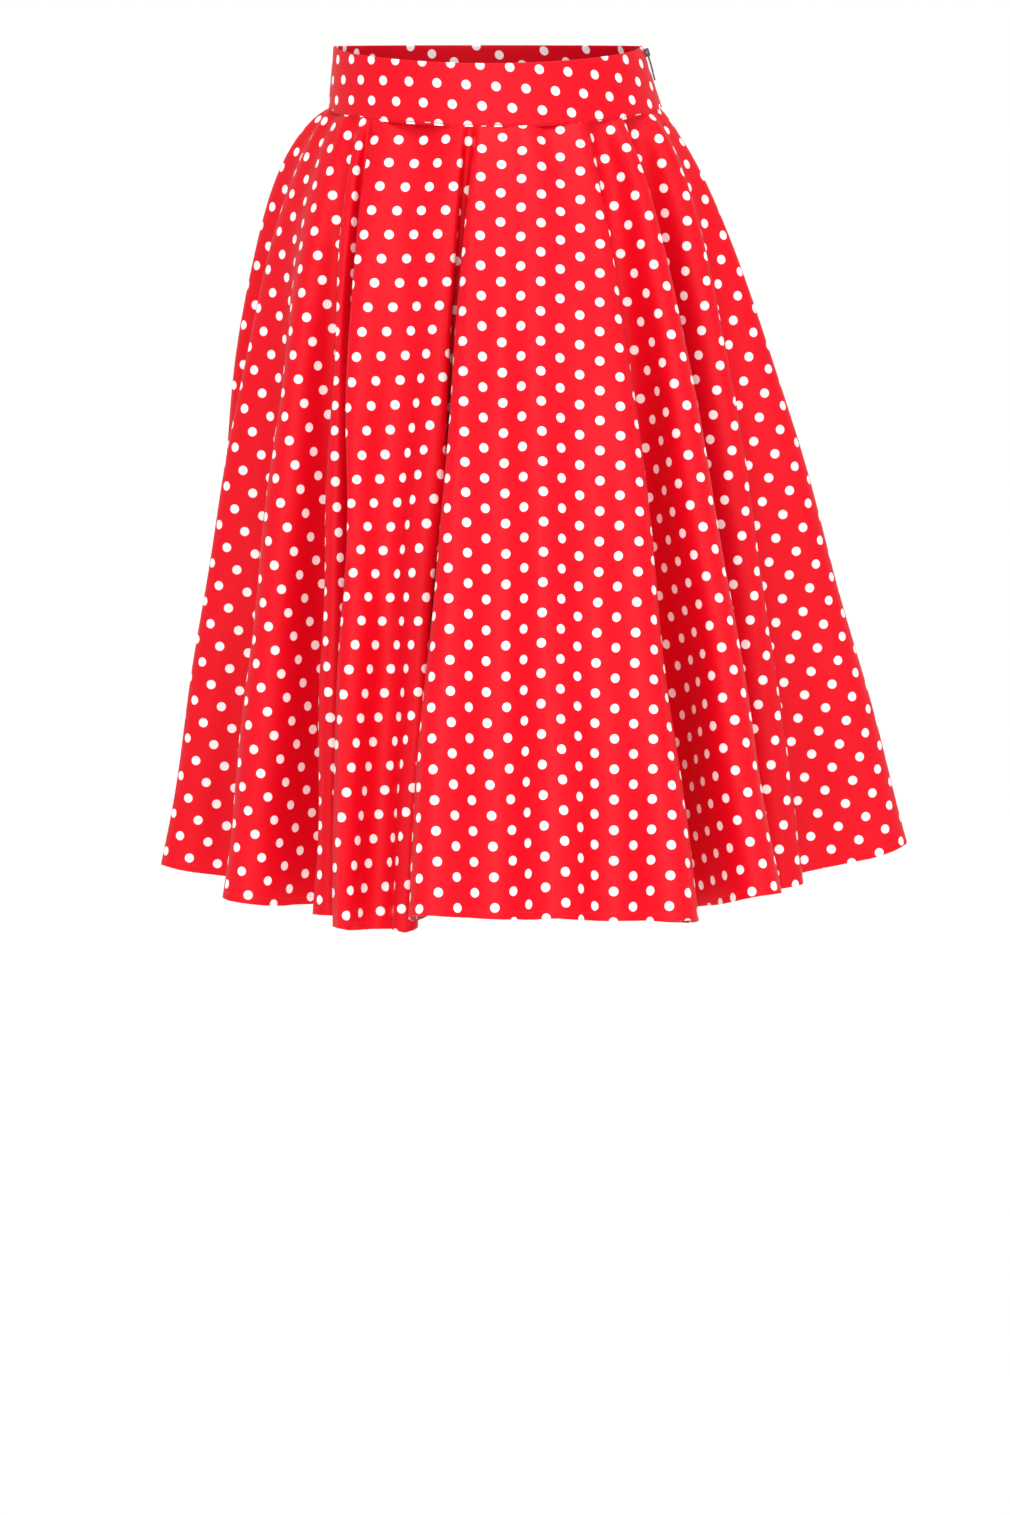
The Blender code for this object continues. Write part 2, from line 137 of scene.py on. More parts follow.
def addStudio():
    half = studio["floorSize"] / 2
    corners = [(-half, -half), (half, -half), (half, half), (-half, half)]
    points = [(x, y, studio["floor"]) for x, y in corners]
    addObject("floor", newMesh("floor", points, [], [(0, 1, 2, 3)], [paperBackdrop()]))
    world = bpy.data.worlds.new("studio")
    bpy.context.scene.world = world
    world.use_nodes = True
    sky = world.node_tree
    aim = addNode(sky, "ShaderNodeTexCoord")
    parts = addNode(sky, "ShaderNodeSeparateXYZ", {0: aim["Generated"]})
    fade = {
        "Value": parts["Z"],
        "From Max": studio["ceilingFrom"],
        "To Min": studio["wall"],
        "To Max": studio["ceiling"],
    }
    bright = addNode(sky, "ShaderNodeMapRange", fade, interpolation_type="SMOOTHSTEP")
    setInputs(sky, sky.nodes["Background"], {"Color": bright["Result"]})
    overhead = studio["overhead"]
    sun = addObject("overheadSoftbox", bpy.data.lights.new("overheadSoftbox", "SUN"))
    sun.data.energy = overhead["strength"]
    sun.data.angle = math.radians(overhead["spread"])
    sun.rotation_euler = (math.radians(overhead["tilt"]), 0, math.radians(overhead["turn"]))
    for name, (place, size, watts, target) in studio["lights"].items():
        lamp = addObject(name, bpy.data.lights.new(name, "AREA"))
        lamp.data.shape = "DISK"
        lamp.data.size = size
        lamp.data.energy = watts
        lamp.location = place
        away = np.array(place) - np.array(target)
        across = math.hypot(away[0], away[1])
        lamp.rotation_euler = (math.atan2(across, away[2]), 0, math.atan2(away[0], -away[1]))
    bpy.context.scene.view_settings.view_transform = "Standard"


# Matt studio paper: no sheen, a very even pale tone.
def paperBackdrop():
    material, tree, shader = newMaterial("studioPaper")
    tone = blend(tree, speckle(tree, 0.8), *map(fromHex, studio["paper"]))
    setInputs(tree, shader, {"Base Color": tone, "Roughness": 0.9, "Specular IOR Level": 0.1})
    return material


# The cut and the way it hangs. Lengths are in metres.
cut = {
    "seamWidth": 0.277,
    "seamDepth": 0.212,
    "topWidth": 0.256,
    "topDepth": 0.192,
    "topLean": -0.006,
    "bandHeight": 0.050,
    "seamLevel": -0.025,
    "frontDip": 0.013,
    "length": 0.655,
    "hipRun": 0.085,  # how far down the hips push the folds out
    "facingRun": 0.120,
    "seamGap": 0.0003,
    "bandWall": 0.0020,
    "spare": 0.03,  # the share of its length that the cloth between two crests keeps to spare
}

# Each fold's crest runs straight over the flat cut from waistPhi to hemPhi, meets the hem at hemX, hemY
# with the cloth heading along facing there, and is pushed out over the hips by hip.
Fold = namedtuple("Fold", "waistPhi hemPhi hemX hemY facing hip")
folds = (
    Fold(-88.5, -89, -0.281, 0.000, -60, 0.036),
    Fold(-66, -76.5, -0.221, -0.098, -45, 0.028),
    Fold(-54, -60, -0.142, -0.158, -40, 0.030),
    Fold(-50, -44.2, -0.128, -0.214, -34, 0.022),
    Fold(-13, -37.2, -0.072, -0.224, 16, 0.006),
    Fold(-5.5, -7.4, -0.057, -0.305, -14, 0.024),
    Fold(10, 1.6, 0.050, -0.311, 0, 0.024),
    Fold(33, 10, 0.148, -0.303, 18, 0.024),
    Fold(50, 33, 0.220, -0.222, 30, 0.034),
    Fold(70, 70, 0.255, -0.085, 58, 0.042),
    Fold(82.5, 83, 0.349, 0.000, 72, 0.034),
    Fold(104, 104, 0.322, 0.120, 105, 0.038),
    Fold(127, 127, 0.240, 0.215, 130, 0.038),
    Fold(150, 149, 0.140, 0.275, 150, 0.036),
    Fold(174, 173, 0.020, 0.297, 175, 0.034),
    Fold(198, 198, -0.092, 0.278, 195, 0.034),
    Fold(221, 222, -0.182, 0.225, 218, 0.036),
    Fold(243, 243, -0.245, 0.150, 235, 0.040),
    Fold(257.5, 257, -0.259, 0.072, 255, 0.071),
)

# How one fold's outline is found: its points, the search's own settings and how boxy a deep fold is.
outlineFit = {
    "steps": 96,
    "rounds": 40,
    "near": 1e-6,
    "nudge": 1e-4,
    "damping": 1e-9,
    "ease": (1.0, 0.25, 0.12),  # swing, lean, place of the valley
    "longestStep": 0.2,
    "valley": (0.3, 0.7),
    "flattest": 0.001,
    "squareness": 0.3,
    "squareGain": 10.0,
    "squareBelow": 0.5,  # the share of its length that the chord has where a fold turns boxy
}


def headingNear(angle, reference):
    return reference + (angle - reference + 180) % 360 - 180


def ellipseTable(width, depth, steps=1440):
    turn = np.linspace(-math.pi, math.pi, steps + 1)
    points = np.stack([width / 2 * np.sin(turn), -depth / 2 * np.cos(turn)], 1)
    run = np.concatenate([[0], np.cumsum(np.hypot(*np.diff(points, axis=0).T))])
    return points, run


seamEllipse = ellipseTable(cut["seamWidth"], cut["seamDepth"])
topEllipse = ellipseTable(cut["topWidth"], cut["topDepth"])
seamRadius = seamEllipse[1][-1] / (2 * math.pi)
hemRadius = seamRadius + cut["length"]


def ellipsePoint(ellipse, phi):
    points, run = ellipse
    along = (np.asarray(phi) / 360 + 0.5) % 1.0 * run[-1]
    return np.stack([np.interp(along, run, points[:, 0]), np.interp(along, run, points[:, 1])], -1)


# The way along the band's seam, over one degree of the cut.
def seamStep(phi):
    return ellipsePoint(seamEllipse, phi + 0.5) - ellipsePoint(seamEllipse, phi - 0.5)


def seamHeading(phi):
    step = seamStep(phi)
    return headingNear(math.degrees(math.atan2(step[1], step[0])), phi)


def seamHeight(phi):
    return cut["seamLevel"] - cut["frontDip"] * np.clip(np.cos(np.radians(phi)), 0, None)


def flatPoint(phi, radius):
    return np.stack([radius * np.sin(np.radians(phi)), radius * np.cos(np.radians(phi))], -1)


def crestPhi(fold, drop, rounds=4):
    start = flatPoint(fold.waistPhi, seamRadius)
    end = flatPoint(fold.hemPhi, hemRadius)
    share = drop / cut["length"]
    for _ in range(rounds):
        reached = math.hypot(*(start + (end - start) * share))
        share += (seamRadius + drop - reached) / cut["length"]
    x, y = start + (end - start) * share
    return headingNear(math.degrees(math.atan2(x, y)), fold.waistPhi)


def crestState(fold, drop):
    start = seamHeading(fold.waistPhi)
    outward = np.array([math.sin(math.radians(start)), -math.cos(math.radians(start))])
    seam = ellipsePoint(seamEllipse, fold.waistPhi)
    reach = np.array([fold.hemX, fold.hemY]) - seam
    share = drop / cut["length"]
    overHip = 1 - math.exp(-drop / cut["hipRun"]) - share
    point = seam + reach * share + outward * fold.hip * overHip
    turned = 1 - math.exp(-drop / cut["facingRun"])
    return crestPhi(fold, drop), point, start + (fold.facing - start) * turned


def swing(share, valley, squareness):
    before = 0.5 * share / valley
    after = 0.5 + 0.5 * (share - valley) / (1 - valley)
    phase = 2 * math.pi * np.where(share < valley, before, after)
    return np.tanh(squareness * np.sin(phase)) / math.tanh(squareness)


# The cloth between two crests, as a curve of exactly this length that spans the chord.
def foldOutline(chord, length, ends):
    steps, nudge = outlineFit["steps"], outlineFit["nudge"]
    middles = (np.arange(steps) + 0.5) / steps
    fullness = math.hypot(*chord) / length
    boxy = max(0.0, outlineFit["squareBelow"] - fullness)
    squareness = outlineFit["squareness"] + outlineFit["squareGain"] * boxy

    def path(shape):
        steady = ends[0] + (ends[1] - ends[0]) * middles
        swung = shape[0] * swing(middles, shape[2], squareness)
        heading = steady + swung + shape[1] * np.sin(math.pi * middles)
        return np.stack([np.cos(heading), np.sin(heading)], 1) * length / steps

    ease = np.diag(outlineFit["ease"])
    longest, (earliest, latest) = outlineFit["longestStep"], outlineFit["valley"]
    shape = np.array([2 * math.sqrt(max(1 - fullness, outlineFit["flattest"])), 0.0, 0.5])
    for _ in range(outlineFit["rounds"]):
        miss = path(shape).sum(0) - chord
        if math.hypot(*miss) < outlineFit["near"]:
            break
        tries = [path(shape + change).sum(0) for change in np.eye(3) * nudge]
        slopes = np.stack([(end - chord - miss) / nudge for end in tries], 1)
        system = slopes @ ease @ slopes.T + np.eye(2) * outlineFit["damping"]
        change = -ease @ slopes.T @ np.linalg.solve(system, miss)
        shape = shape + np.clip(change, -longest, longest)
        shape[2] = min(max(shape[2], earliest), latest)
    points = np.concatenate([[[0.0, 0.0]], np.cumsum(path(shape), axis=0)])
    return points + np.outer(np.linspace(0, 1, steps + 1), chord - points[-1])


# Cloth is never quite taut between two crests, so a fold dies out gently where it has no cloth to spare.
def easedLength(length, reach):
    slack = 1 - reach / length
    slack = (slack + math.hypot(slack, cut["spare"])) / 2
    return reach / (1 - slack)


def levelOutline(drop):
    states = [crestState(fold, drop) for fold in folds]
    phi, point, heading = states[0]
    states.append((phi + 360, point, heading + 360))
    share = np.linspace(0, 1, outlineFit["steps"] + 1)
    allPhi, allPoints = [], []
    for (phi, point, heading), (nextPhi, nextPoint, nextHeading) in zip(states, states[1:]):
        span = phi + (nextPhi - phi) * share
        if drop > 0:
            length = math.radians(nextPhi - phi) * (seamRadius + drop)
            length = easedLength(length, math.dist(point, nextPoint))
            ends = (math.radians(heading), math.radians(nextHeading))
            points = point + foldOutline(nextPoint - point, length, ends)
        else:
            points = ellipsePoint(seamEllipse, span)
        allPhi.append(span[:-1])
        allPoints.append(points[:-1])
    allPhi.append([states[-1][0]])
    allPoints.append([states[-1][1]])
    return [state[0] for state in states], np.concatenate(allPhi), np.concatenate(allPoints)


cloth = {
    "wall": 0.00045,
    "hemTurn": 0.0070,  # turned twice
    "hemWall": 0.00130,
    "allowance": 0.010,
    "topRows": (0, 0.0012, 0.0028, 0.005, 0.008, 0.0115, 0.0155),  # below the seam
    "evenFrom": 0.020,
    "rowPitch": 0.0062,
    "hemStep": 0.0006,
    "hemRows": (0.0045, 0.0022, 0.0006, 0),  # above the hem's edge
    "columnPitch": 0.0105,  # at the hem
    "allowanceColumns": 4,
    "allowanceGap": 0.0001,
    "allowanceBake": 0.7,  # the share of its length that it has in the baked square
    "clearRows": 2,  # at the seam, which the allowances and their stitches keep clear of
    "sharpAngle": 60,
    "steepest": 0.02,  # the least of a row's squared length that goes down
    "rollIn": 0.0007,  # how far the cloth rolls in at a seam
    "rollRun": 0.0025,
    "sideRoll": 0.8,  # of what it rolls in at the band
    # height, the drops over which it comes and goes, its waves' lengths across and down, and how the
    # cloth's own place is stretched or bent to give theirs
    "gather": {"height": 0.0018, "grows": 0.012, "fades": 0.075, "waves": (0.030, 0.20), "stretch": 0.35},
    "ripple": {"height": 0.0016, "grows": 0.09, "waves": (0.085, 0.30), "radius": 0.35, "sway": 0.11},
    "seed": 11,
    # where the hem hangs higher or lower than its folds give: phi, reach in degrees, rise
    "hemRises": (
        (-43, 3.5, -0.010),
        (-34.5, 4.5, 0.015),
        (-21, 8, 0.013),
        (-5, 8, 0.003),
        (26, 11, 0.012),
        (48, 13, 0.013),
    ),
}


def rowDrops():
    turn, start = cut["length"] - cloth["hemTurn"], cloth["evenFrom"]
    even = np.linspace(start, turn, round((turn - start) / cloth["rowPitch"]))
    low = [cut["length"] - above for above in cloth["hemRows"]]
    return np.array([*cloth["topRows"], *even, turn + cloth["hemStep"], *low])


def columnStops(crests, drop):
    edge = math.degrees(cloth["allowance"] / (seamRadius + drop))
    inner = sorted([*crests[1:-1], 90 - edge, 90.0, 90 + edge])
    return [-90.0, -90 + edge] + inner + [270 - edge, 270.0]


def spreadColumns(stops, counts):
    parts = [np.linspace(a, b, n, endpoint=False) for a, b, n in zip(stops, stops[1:], counts)]
    return np.concatenate(parts + [[stops[-1]]])


def columnCounts():
    stops = columnStops(levelOutline(cut["length"])[0], cut["length"])
    widths = [math.radians(b - a) * hemRadius for a, b in zip(stops, stops[1:])]
    counts = [max(round(width / cloth["columnPitch"]), 2) for width in widths]
    seam = stops.index(90.0)
    for place in (0, seam - 1, seam, len(counts) - 1):
        counts[place] = cloth["allowanceColumns"]
    return counts


# Smooth bumps from a few waves, the same on every run.
def softNoise(across, down, acrossWave, downWave, seed, waves=9, finest=0.6, coarsest=1.6):
    chance = np.random.default_rng(seed)
    total = 0
    for _ in range(waves):
        turns = chance.uniform(finest, coarsest, 2) / np.array([acrossWave, downWave])
        total = total + np.sin(2 * math.pi * (across * turns[0] + down * turns[1] + chance.uniform()))
    return total / math.sqrt(waves)


def unit(vectors):
    return vectors / np.linalg.norm(vectors, axis=-1, keepdims=True)


# Outward normals and the direction along a row, for a surface that closes on itself.
def ringNormals(surface):
    ring = surface[:, :-1]
    along = np.roll(ring, -1, axis=1) - np.roll(ring, 1, axis=1)
    down = np.gradient(ring, axis=0)
    normals = unit(np.cross(along, -down))
    return closed(normals), unit(closed(along))


def closed(ring):
    return np.concatenate([ring, ring[:, :1]], 1)


def skirtSurface():
    drops = rowDrops()
    counts = columnCounts()
    phis, plans = [], []
    for drop in drops:
        crests, phi, points = levelOutline(drop)
        columns = spreadColumns(columnStops(crests, drop), counts)
        turned = np.where(columns < phi[0], columns + 360, columns)
        phis.append(columns)
        plans.append(np.stack([np.interp(turned, phi, points[:, axis]) for axis in (0, 1)], 1))
    phis, plans = np.array(phis), np.array(plans)
    radii = (seamRadius + drops)[:, None]
    flats = flatPoint(phis, radii)
    heights = [seamHeight(phis[0])]
    for row in range(1, len(drops)):
        clothStep = ((flats[row] - flats[row - 1]) ** 2).sum(1)
        sideways = ((plans[row] - plans[row - 1]) ** 2).sum(1)
        down = np.maximum(clothStep - sideways, cloth["steepest"] * clothStep)
        heights.append(heights[-1] - np.sqrt(down))
    surface = np.concatenate([plans, np.array(heights)[:, :, None]], 2)
    low = ((drops / cut["length"]) ** 2)[:, None]
    for centre, reach, rise in cloth["hemRises"]:
        surface[..., 2] += rise * np.exp(-(((phis - centre) / reach) ** 2)) * low
    surface[0, :, 2] -= cut["seamGap"] / 2
    return drops, phis, surface


# The small unevenness of real cloth: faint gathers under the band and soft waves along the folds.
def ruffle(drops, phis, surface):
    normals, _ = ringNormals(surface)
    drop = drops[:, None]
    turn = np.radians(phis)
    small, large, seed = cloth["gather"], cloth["ripple"], cloth["seed"]
    gather = softNoise(turn * seamRadius, drop * small["stretch"], *small["waves"], seed)
    gather = gather * np.exp(-drop / small["fades"]) * (1 - np.exp(-drop / small["grows"]))
    across, down = np.sin(turn) * large["radius"], drop + large["sway"] * np.sin(2 * turn)
    ripple = softNoise(across, down, *large["waves"], seed + 1) * (1 - np.exp(-drop / large["grows"]))
    waves = gather * small["height"] + ripple * large["height"]
    fromSide = np.minimum(abs(phis + 90), np.minimum(abs(phis - 90), abs(phis - 270)))
    fromSide = np.radians(fromSide) * (seamRadius + drop)
    roll = np.exp(-drop / cloth["rollRun"]) + cloth["sideRoll"] * np.exp(-fromSide / cloth["rollRun"])
    return surface + normals * (waves - np.minimum(roll, 1) * cloth["rollIn"])[:, :, None]


printEasing = {"rounds": 14, "turns": 50}
# Both ways of cutting one square of the grid in two, by its corners' row and column.
triangles = (
    ((0, 0), (1, 0), (1, 1)),
    ((0, 0), (1, 1), (0, 1)),
    ((0, 0), (1, 0), (0, 1)),
    ((1, 0), (1, 1), (0, 1)),
)


# One corner of every square of a grid, as a view that can be added to.
def at(grid, corner):
    (row, column), (rows, columns) = corner, grid.shape[:2]
    return grid[row : rows - 1 + row, column : columns - 1 + column]


def pull(net, pair, force):
    at(net, pair[1])[...] += force
    at(net, pair[0])[...] -= force


def stiffness(net, weights):
    out = np.zeros_like(net)
    for pair, weight in weights.items():
        pull(out, pair, weight * (at(net, pair[1]) - at(net, pair[0])))
    return out


# Every triangle's edges as it lies on the surface, laid flat, with the weight that each edge has.
def flattenedEdges(points, plan):
    edges, weights = [], {}
    for corners in triangles:
        a, b, c = (at(points, corner) for corner in corners)
        fa, fb, fc = (at(plan, corner) for corner in corners)
        side, other = b - a, c - a
        long = np.linalg.norm(side, axis=-1)
        tall = np.linalg.norm(np.cross(side, other), axis=-1) / long
        hand = np.sign(((fb - fa).conjugate() * (fc - fa)).imag)
        places = (0 * long, long + 0j, (side * other).sum(-1) / long + 1j * tall * hand)
        for i, j, k in ((0, 1, 2), (1, 2, 0), (2, 0, 1)):
            one, two = places[i] - places[k], places[j] - places[k]
            cross = abs((one.conjugate() * two).imag)
            weight = (one.conjugate() * two).real / cross
            pair = (corners[i], corners[j])
            edges.append((corners, pair, weight, places[j] - places[i]))
            key = tuple(sorted(pair))
            weights[key] = weights.get(key, 0) + weight
    return edges, weights


# Where the print lies on the hanging cloth: the flat layout, eased until every small triangle has the
# shape that it has on the surface, so the spots stay round. Plan positions are complex numbers.
def printLayout(points, flat):
    start = flat[..., 0] + 1j * flat[..., 1]
    plan = start
    edges, weights = flattenedEdges(points, plan)
    load = np.zeros(plan.shape)
    for pair, weight in weights.items():
        at(load, pair[0])[...] += weight
        at(load, pair[1])[...] += weight
    load = abs(load)
    for _ in range(printEasing["rounds"]):
        turns = {}
        for corners, pair, weight, edge in edges:
            step = at(plan, pair[1]) - at(plan, pair[0])
            turns[corners] = turns.get(corners, 0) + weight * step * edge.conjugate()
        wanted = np.zeros_like(plan)
        for corners, pair, weight, edge in edges:
            pull(wanted, pair, weight * edge * turns[corners] / abs(turns[corners]))
        rest = wanted - stiffness(plan, weights)
        eased = rest / load
        ahead, gain = eased.copy(), (rest.conjugate() * eased).sum().real
        for _ in range(printEasing["turns"]):
            response = stiffness(ahead, weights)
            step = gain / (ahead.conjugate() * response).sum().real
            plan = plan + step * ahead
            rest = rest - step * response
            eased = rest / load
            last, gain = gain, (rest.conjugate() * eased).sum().real
            ahead = eased + gain / last * ahead
    centred = plan - plan.mean()
    turn = (centred.conjugate() * (start - start.mean())).sum()
    plan = centred * turn / abs(turn) + start.mean()
    return np.stack([plan.real, plan.imag], -1)


def gridQuads(rows, columns, start=0):
    corner = start + np.arange(rows * columns).reshape(rows, columns)
    quads = [corner[:-1, :-1], corner[1:, :-1], corner[1:, 1:], corner[:-1, 1:]]
    return np.stack(quads, -1).reshape(-1, 4)


def borderLoop(rows, columns):
    corner = np.arange(rows * columns).reshape(rows, columns)
    return np.concatenate([corner[0], corner[1:, -1], corner[-1, :-1][::-1], corner[1:-1, 0][::-1]])


def place(name, mesh, slot, body="skirt"):
    piece = addObject(name, mesh)
    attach(piece, body)
    return piece


# A thin closed wall of cloth between two equal grids. flat is the cut's own layout in metres, and bake
# is the outer side's place in the square that the wall's pattern is baked to, with the inner side
# turned over below it.
def clothPiece(name, outer, inner, flat, bake, materials, slot="printed_cotton"):
    rows, columns = outer.shape[:2]
    size = rows * columns
    points = np.concatenate([outer.reshape(-1, 3), inner.reshape(-1, 3)])
    front = gridQuads(rows, columns)
    back = gridQuads(rows, columns, size)[:, ::-1]
    loop = borderLoop(rows, columns)
    ahead = np.roll(loop, -1)
    rim = np.stack([loop, ahead, ahead + size, loop + size], 1)
    quads = np.concatenate([front, back, rim])
    mesh = newMesh(name, points.tolist(), [], quads.tolist(), materials)
    side = np.concatenate([np.zeros(len(front)), np.ones(len(back)), np.zeros(len(rim))])
    mesh.polygons.foreach_set("material_index", side.astype(np.int32))
    pattern = np.concatenate([flat.reshape(-1, 2)] * 2)
    mesh.uv_layers.new(name="flat").data.foreach_set("uv", pattern[quads].ravel())
    upper, lower = bakeHalves(bake.reshape(-1, 2))
    corners = np.concatenate([upper, lower])[quads]
    push = unit(upper[loop] - upper.mean(0)) * cloth["wall"] / 2
    corners[-len(rim) :, 0] = upper[loop]
    corners[-len(rim) :, 1] = upper[ahead]
    corners[-len(rim) :, 2] = upper[ahead] + np.roll(push, -1, axis=0)
    corners[-len(rim) :, 3] = upper[loop] + push
    mesh.uv_layers.new(name="OFBake").data.foreach_set("uv", corners.ravel())
    mesh.shade_smooth()
    mesh.set_sharp_from_angle(angle=math.radians(cloth["sharpAngle"]))
    return place(name, mesh, slot)


# The outer side's place in the upper half of the baked square and the inner side's in its lower half.
def bakeHalves(bake, margin=0.01):
    low, high = bake.min(0), bake.max(0)
    wide, tall = high - low
    fitted = (bake - low) * min((1 - 2 * margin) / wide, (0.5 - 2 * margin) / tall)
    return fitted + (margin, 0.5 + margin), fitted * (1, -1) + (margin, 0.5 - margin)


dots = {
    "columnPitch": 0.0165,
    "repeat": 0.0246,
    "radius": 0.0038,
    "edge": 0.00030,
    "shift": (0.0131, 0.0075),
}

# ground colours, spot colour, roughness and sheen
prints = {
    "face": (("#DC011A", "#E4021E"), "#FFFAF8", 0.50, 0.02),
    "reverse": (("#C5202B", "#CF2833"), "#EDB2B0", 0.72, 0.04),
}

sateen = {
    "dyeScale": 14.0,
    "threadPitch": {"X": 0.0011, "Y": 0.0014},
    "wavePitch": 0.314,  # a wave texture's own pitch at a scale of 1
    "threadHeight": 0.0004,
    "crumpleScale": 26.0,
    "crumpleHeight": 0.0016,
    "sheenTint": "#FF8C8C",
}


# Cotton sateen, roller printed with white spots on a saturated red: a smooth face of long weft floats,
# so it has a soft low gloss and a faint fuzz at the edges of folds. The thread's real pitch is 0.3 mm,
# drawn at 1.1 mm one way and 1.4 mm the other so that it shows.
def printedSateen(name, ground, spot, roughness, sheen):
    material, tree, shader = newMaterial(name)
    place = addNode(tree, "ShaderNodeUVMap", uv_map="flat")["UV"]

    def vector(operation, *values):
        return addNode(tree, "ShaderNodeVectorMath", dict(enumerate(values)), operation=operation)

    def number(operation, *values):
        return addNode(tree, "ShaderNodeMath", dict(enumerate(values)), operation=operation)[0]

    def noise(scale, detail):
        values = {"Vector": place, "Scale": scale, "Detail": detail}
        return addNode(tree, "ShaderNodeTexNoise", values)["Fac"]

    cell = (2 * dots["columnPitch"], dots["repeat"])
    scaled = vector("DIVIDE", place, (*cell, 1.0))[0]
    reaches = []
    for offset in ((0.0, 0.0, 0.0), (0.5, 0.5, 0.0)):
        part = vector("FRACTION", vector("ADD", scaled, offset)[0])[0]
        away = vector("SUBTRACT", part, (0.5, 0.5, 0.0))[0]
        reaches.append(vector("LENGTH", vector("MULTIPLY", away, (*cell, 0.0))[0])["Value"])
    printed = addNode(
        tree,
        "ShaderNodeMapRange",
        {
            "Value": number("MINIMUM", *reaches),
            "From Min": dots["radius"] + dots["edge"],
            "From Max": dots["radius"] - dots["edge"],
        },
        interpolation_type="SMOOTHSTEP",
    )
    dye = blend(tree, noise(sateen["dyeScale"], 3.0), *map(fromHex, ground))
    colour = blend(tree, printed["Result"], dye, fromHex(spot))
    threads = []
    for direction, pitch in sateen["threadPitch"].items():
        scale = sateen["wavePitch"] / pitch
        wave = {"Vector": place, "Scale": scale, "Distortion": 0.4, "Detail": 1.0}
        threads.append(addNode(tree, "ShaderNodeTexWave", wave, bands_direction=direction)["Fac"])
    weave = {"Height": number("MULTIPLY", *threads), "Strength": 0.10, "Distance": sateen["threadHeight"]}
    grain = addNode(tree, "ShaderNodeBump", weave)[0]
    crumple = noise(sateen["crumpleScale"], 4.0)
    creases = {"Height": crumple, "Strength": 0.35, "Distance": sateen["crumpleHeight"], "Normal": grain}
    relief = addNode(tree, "ShaderNodeBump", creases)
    looks = {"Base Color": colour, "Normal": relief[0], "Roughness": roughness}
    fuzz = {"Sheen Weight": sheen, "Sheen Roughness": 0.35, "Sheen Tint": fromHex(sateen["sheenTint"])}
    setInputs(tree, shader, looks | fuzz | {"Specular IOR Level": 0.18})
    return material


# Spun polyester sewing thread, dyed to the cloth: soft satin, with the ply's twist as fine relief.
def sewingThread(name, colours):
    material, tree, shader = newMaterial(name)
    tone = speckle(tree, 900.0)
    ply = addNode(tree, "ShaderNodeBump", {"Height": tone, "Strength": 0.3, "Distance": 0.0002})
    looks = {"Base Color": blend(tree, tone, *map(fromHex, colours)), "Normal": ply[0]}
    setInputs(tree, shader, looks | {"Roughness": 0.55, "Sheen Weight": 0.2})
    return material


# The column that lies on the left side seam.
def leftSeam(phis):
    return int(np.argmin(abs(phis[0] - 90)))


def addPanels(drops, phis, surface, normals, along):
    face = printedSateen("printedSateenFace", *prints["face"])
    reverse = printedSateen("printedSateenReverse", *prints["reverse"])
    seam, end = leftSeam(phis), phis.shape[1] - 1
    radii = (seamRadius + drops)[:, None]
    hemTop = cut["length"] - cloth["hemTurn"] + cloth["hemStep"] / 2
    thick = np.where(drops > hemTop, cloth["hemWall"], cloth["wall"])
    pieces = []
    for name, first, last, centre in (("frontPanel", 0, seam, 0), ("backPanel", seam, end, 180)):
        columns = slice(first, last + 1)
        outer = surface[:, columns].copy()
        outer[:, 0] += along[:, first] * cut["seamGap"] / 2
        outer[:, -1] -= along[:, last] * cut["seamGap"] / 2
        inner = outer - normals[:, columns] * thick[:, None, None]
        bake = flatPoint(phis[:, columns] - centre, radii)
        flat = printLayout(outer, bake * (1, -1)) + dots["shift"]
        pieces.append(clothPiece(name, outer, inner, flat, bake, (face, reverse)))
    return pieces


band = {
    "columns": 150,
    "slopesOn": 0.1,  # below the seam, as a share of the band's height
    "edgeRound": 0.0009,
    "bends": (0.4, 0.8, 1.2, 1.5),  # radians, round the top edge
    "tuck": 0.0002,  # how far the layer's back stays below its top
    "layer": 0.0010,  # cloth with its interfacing and turnings
    "facingDrop": 0.0014,  # the facing ends this far below the seam
    "facingEase": 0.0001,
    "rollIn": 0.0005,
    "rollRun": 0.0016,
    "flatRadius": 0.800,
    "grainCentre": -24.0,
    "rowLift": 0.0166,
    "alongShift": 0.0074,
    "notchHeight": 0.014,  # left open round the zip's slider
    "notchGap": 0.0034,
    "seamRows": (0, 0.0008, 0.002, 0.004, 0.007),
    "middleRows": (0.012, 0.0148, 5),  # above the seam, below the top, count
    "topRows": (0.0140, 0.0012, 5),  # below the top, count
}


def bandPoint(phi, height):
    share = np.clip(height / cut["bandHeight"], -band["slopesOn"], 1)
    low = ellipsePoint(seamEllipse, phi)
    high = ellipsePoint(topEllipse, phi) + np.array([cut["topLean"], 0.0])
    plan = low + (high - low) * share
    return np.stack([plan[..., 0], plan[..., 1], seamHeight(phi) + height], -1)


def bandNormal(phi):
    step = seamStep(phi)
    return unit(np.stack([step[..., 1], -step[..., 0], 0 * step[..., 0]], -1))


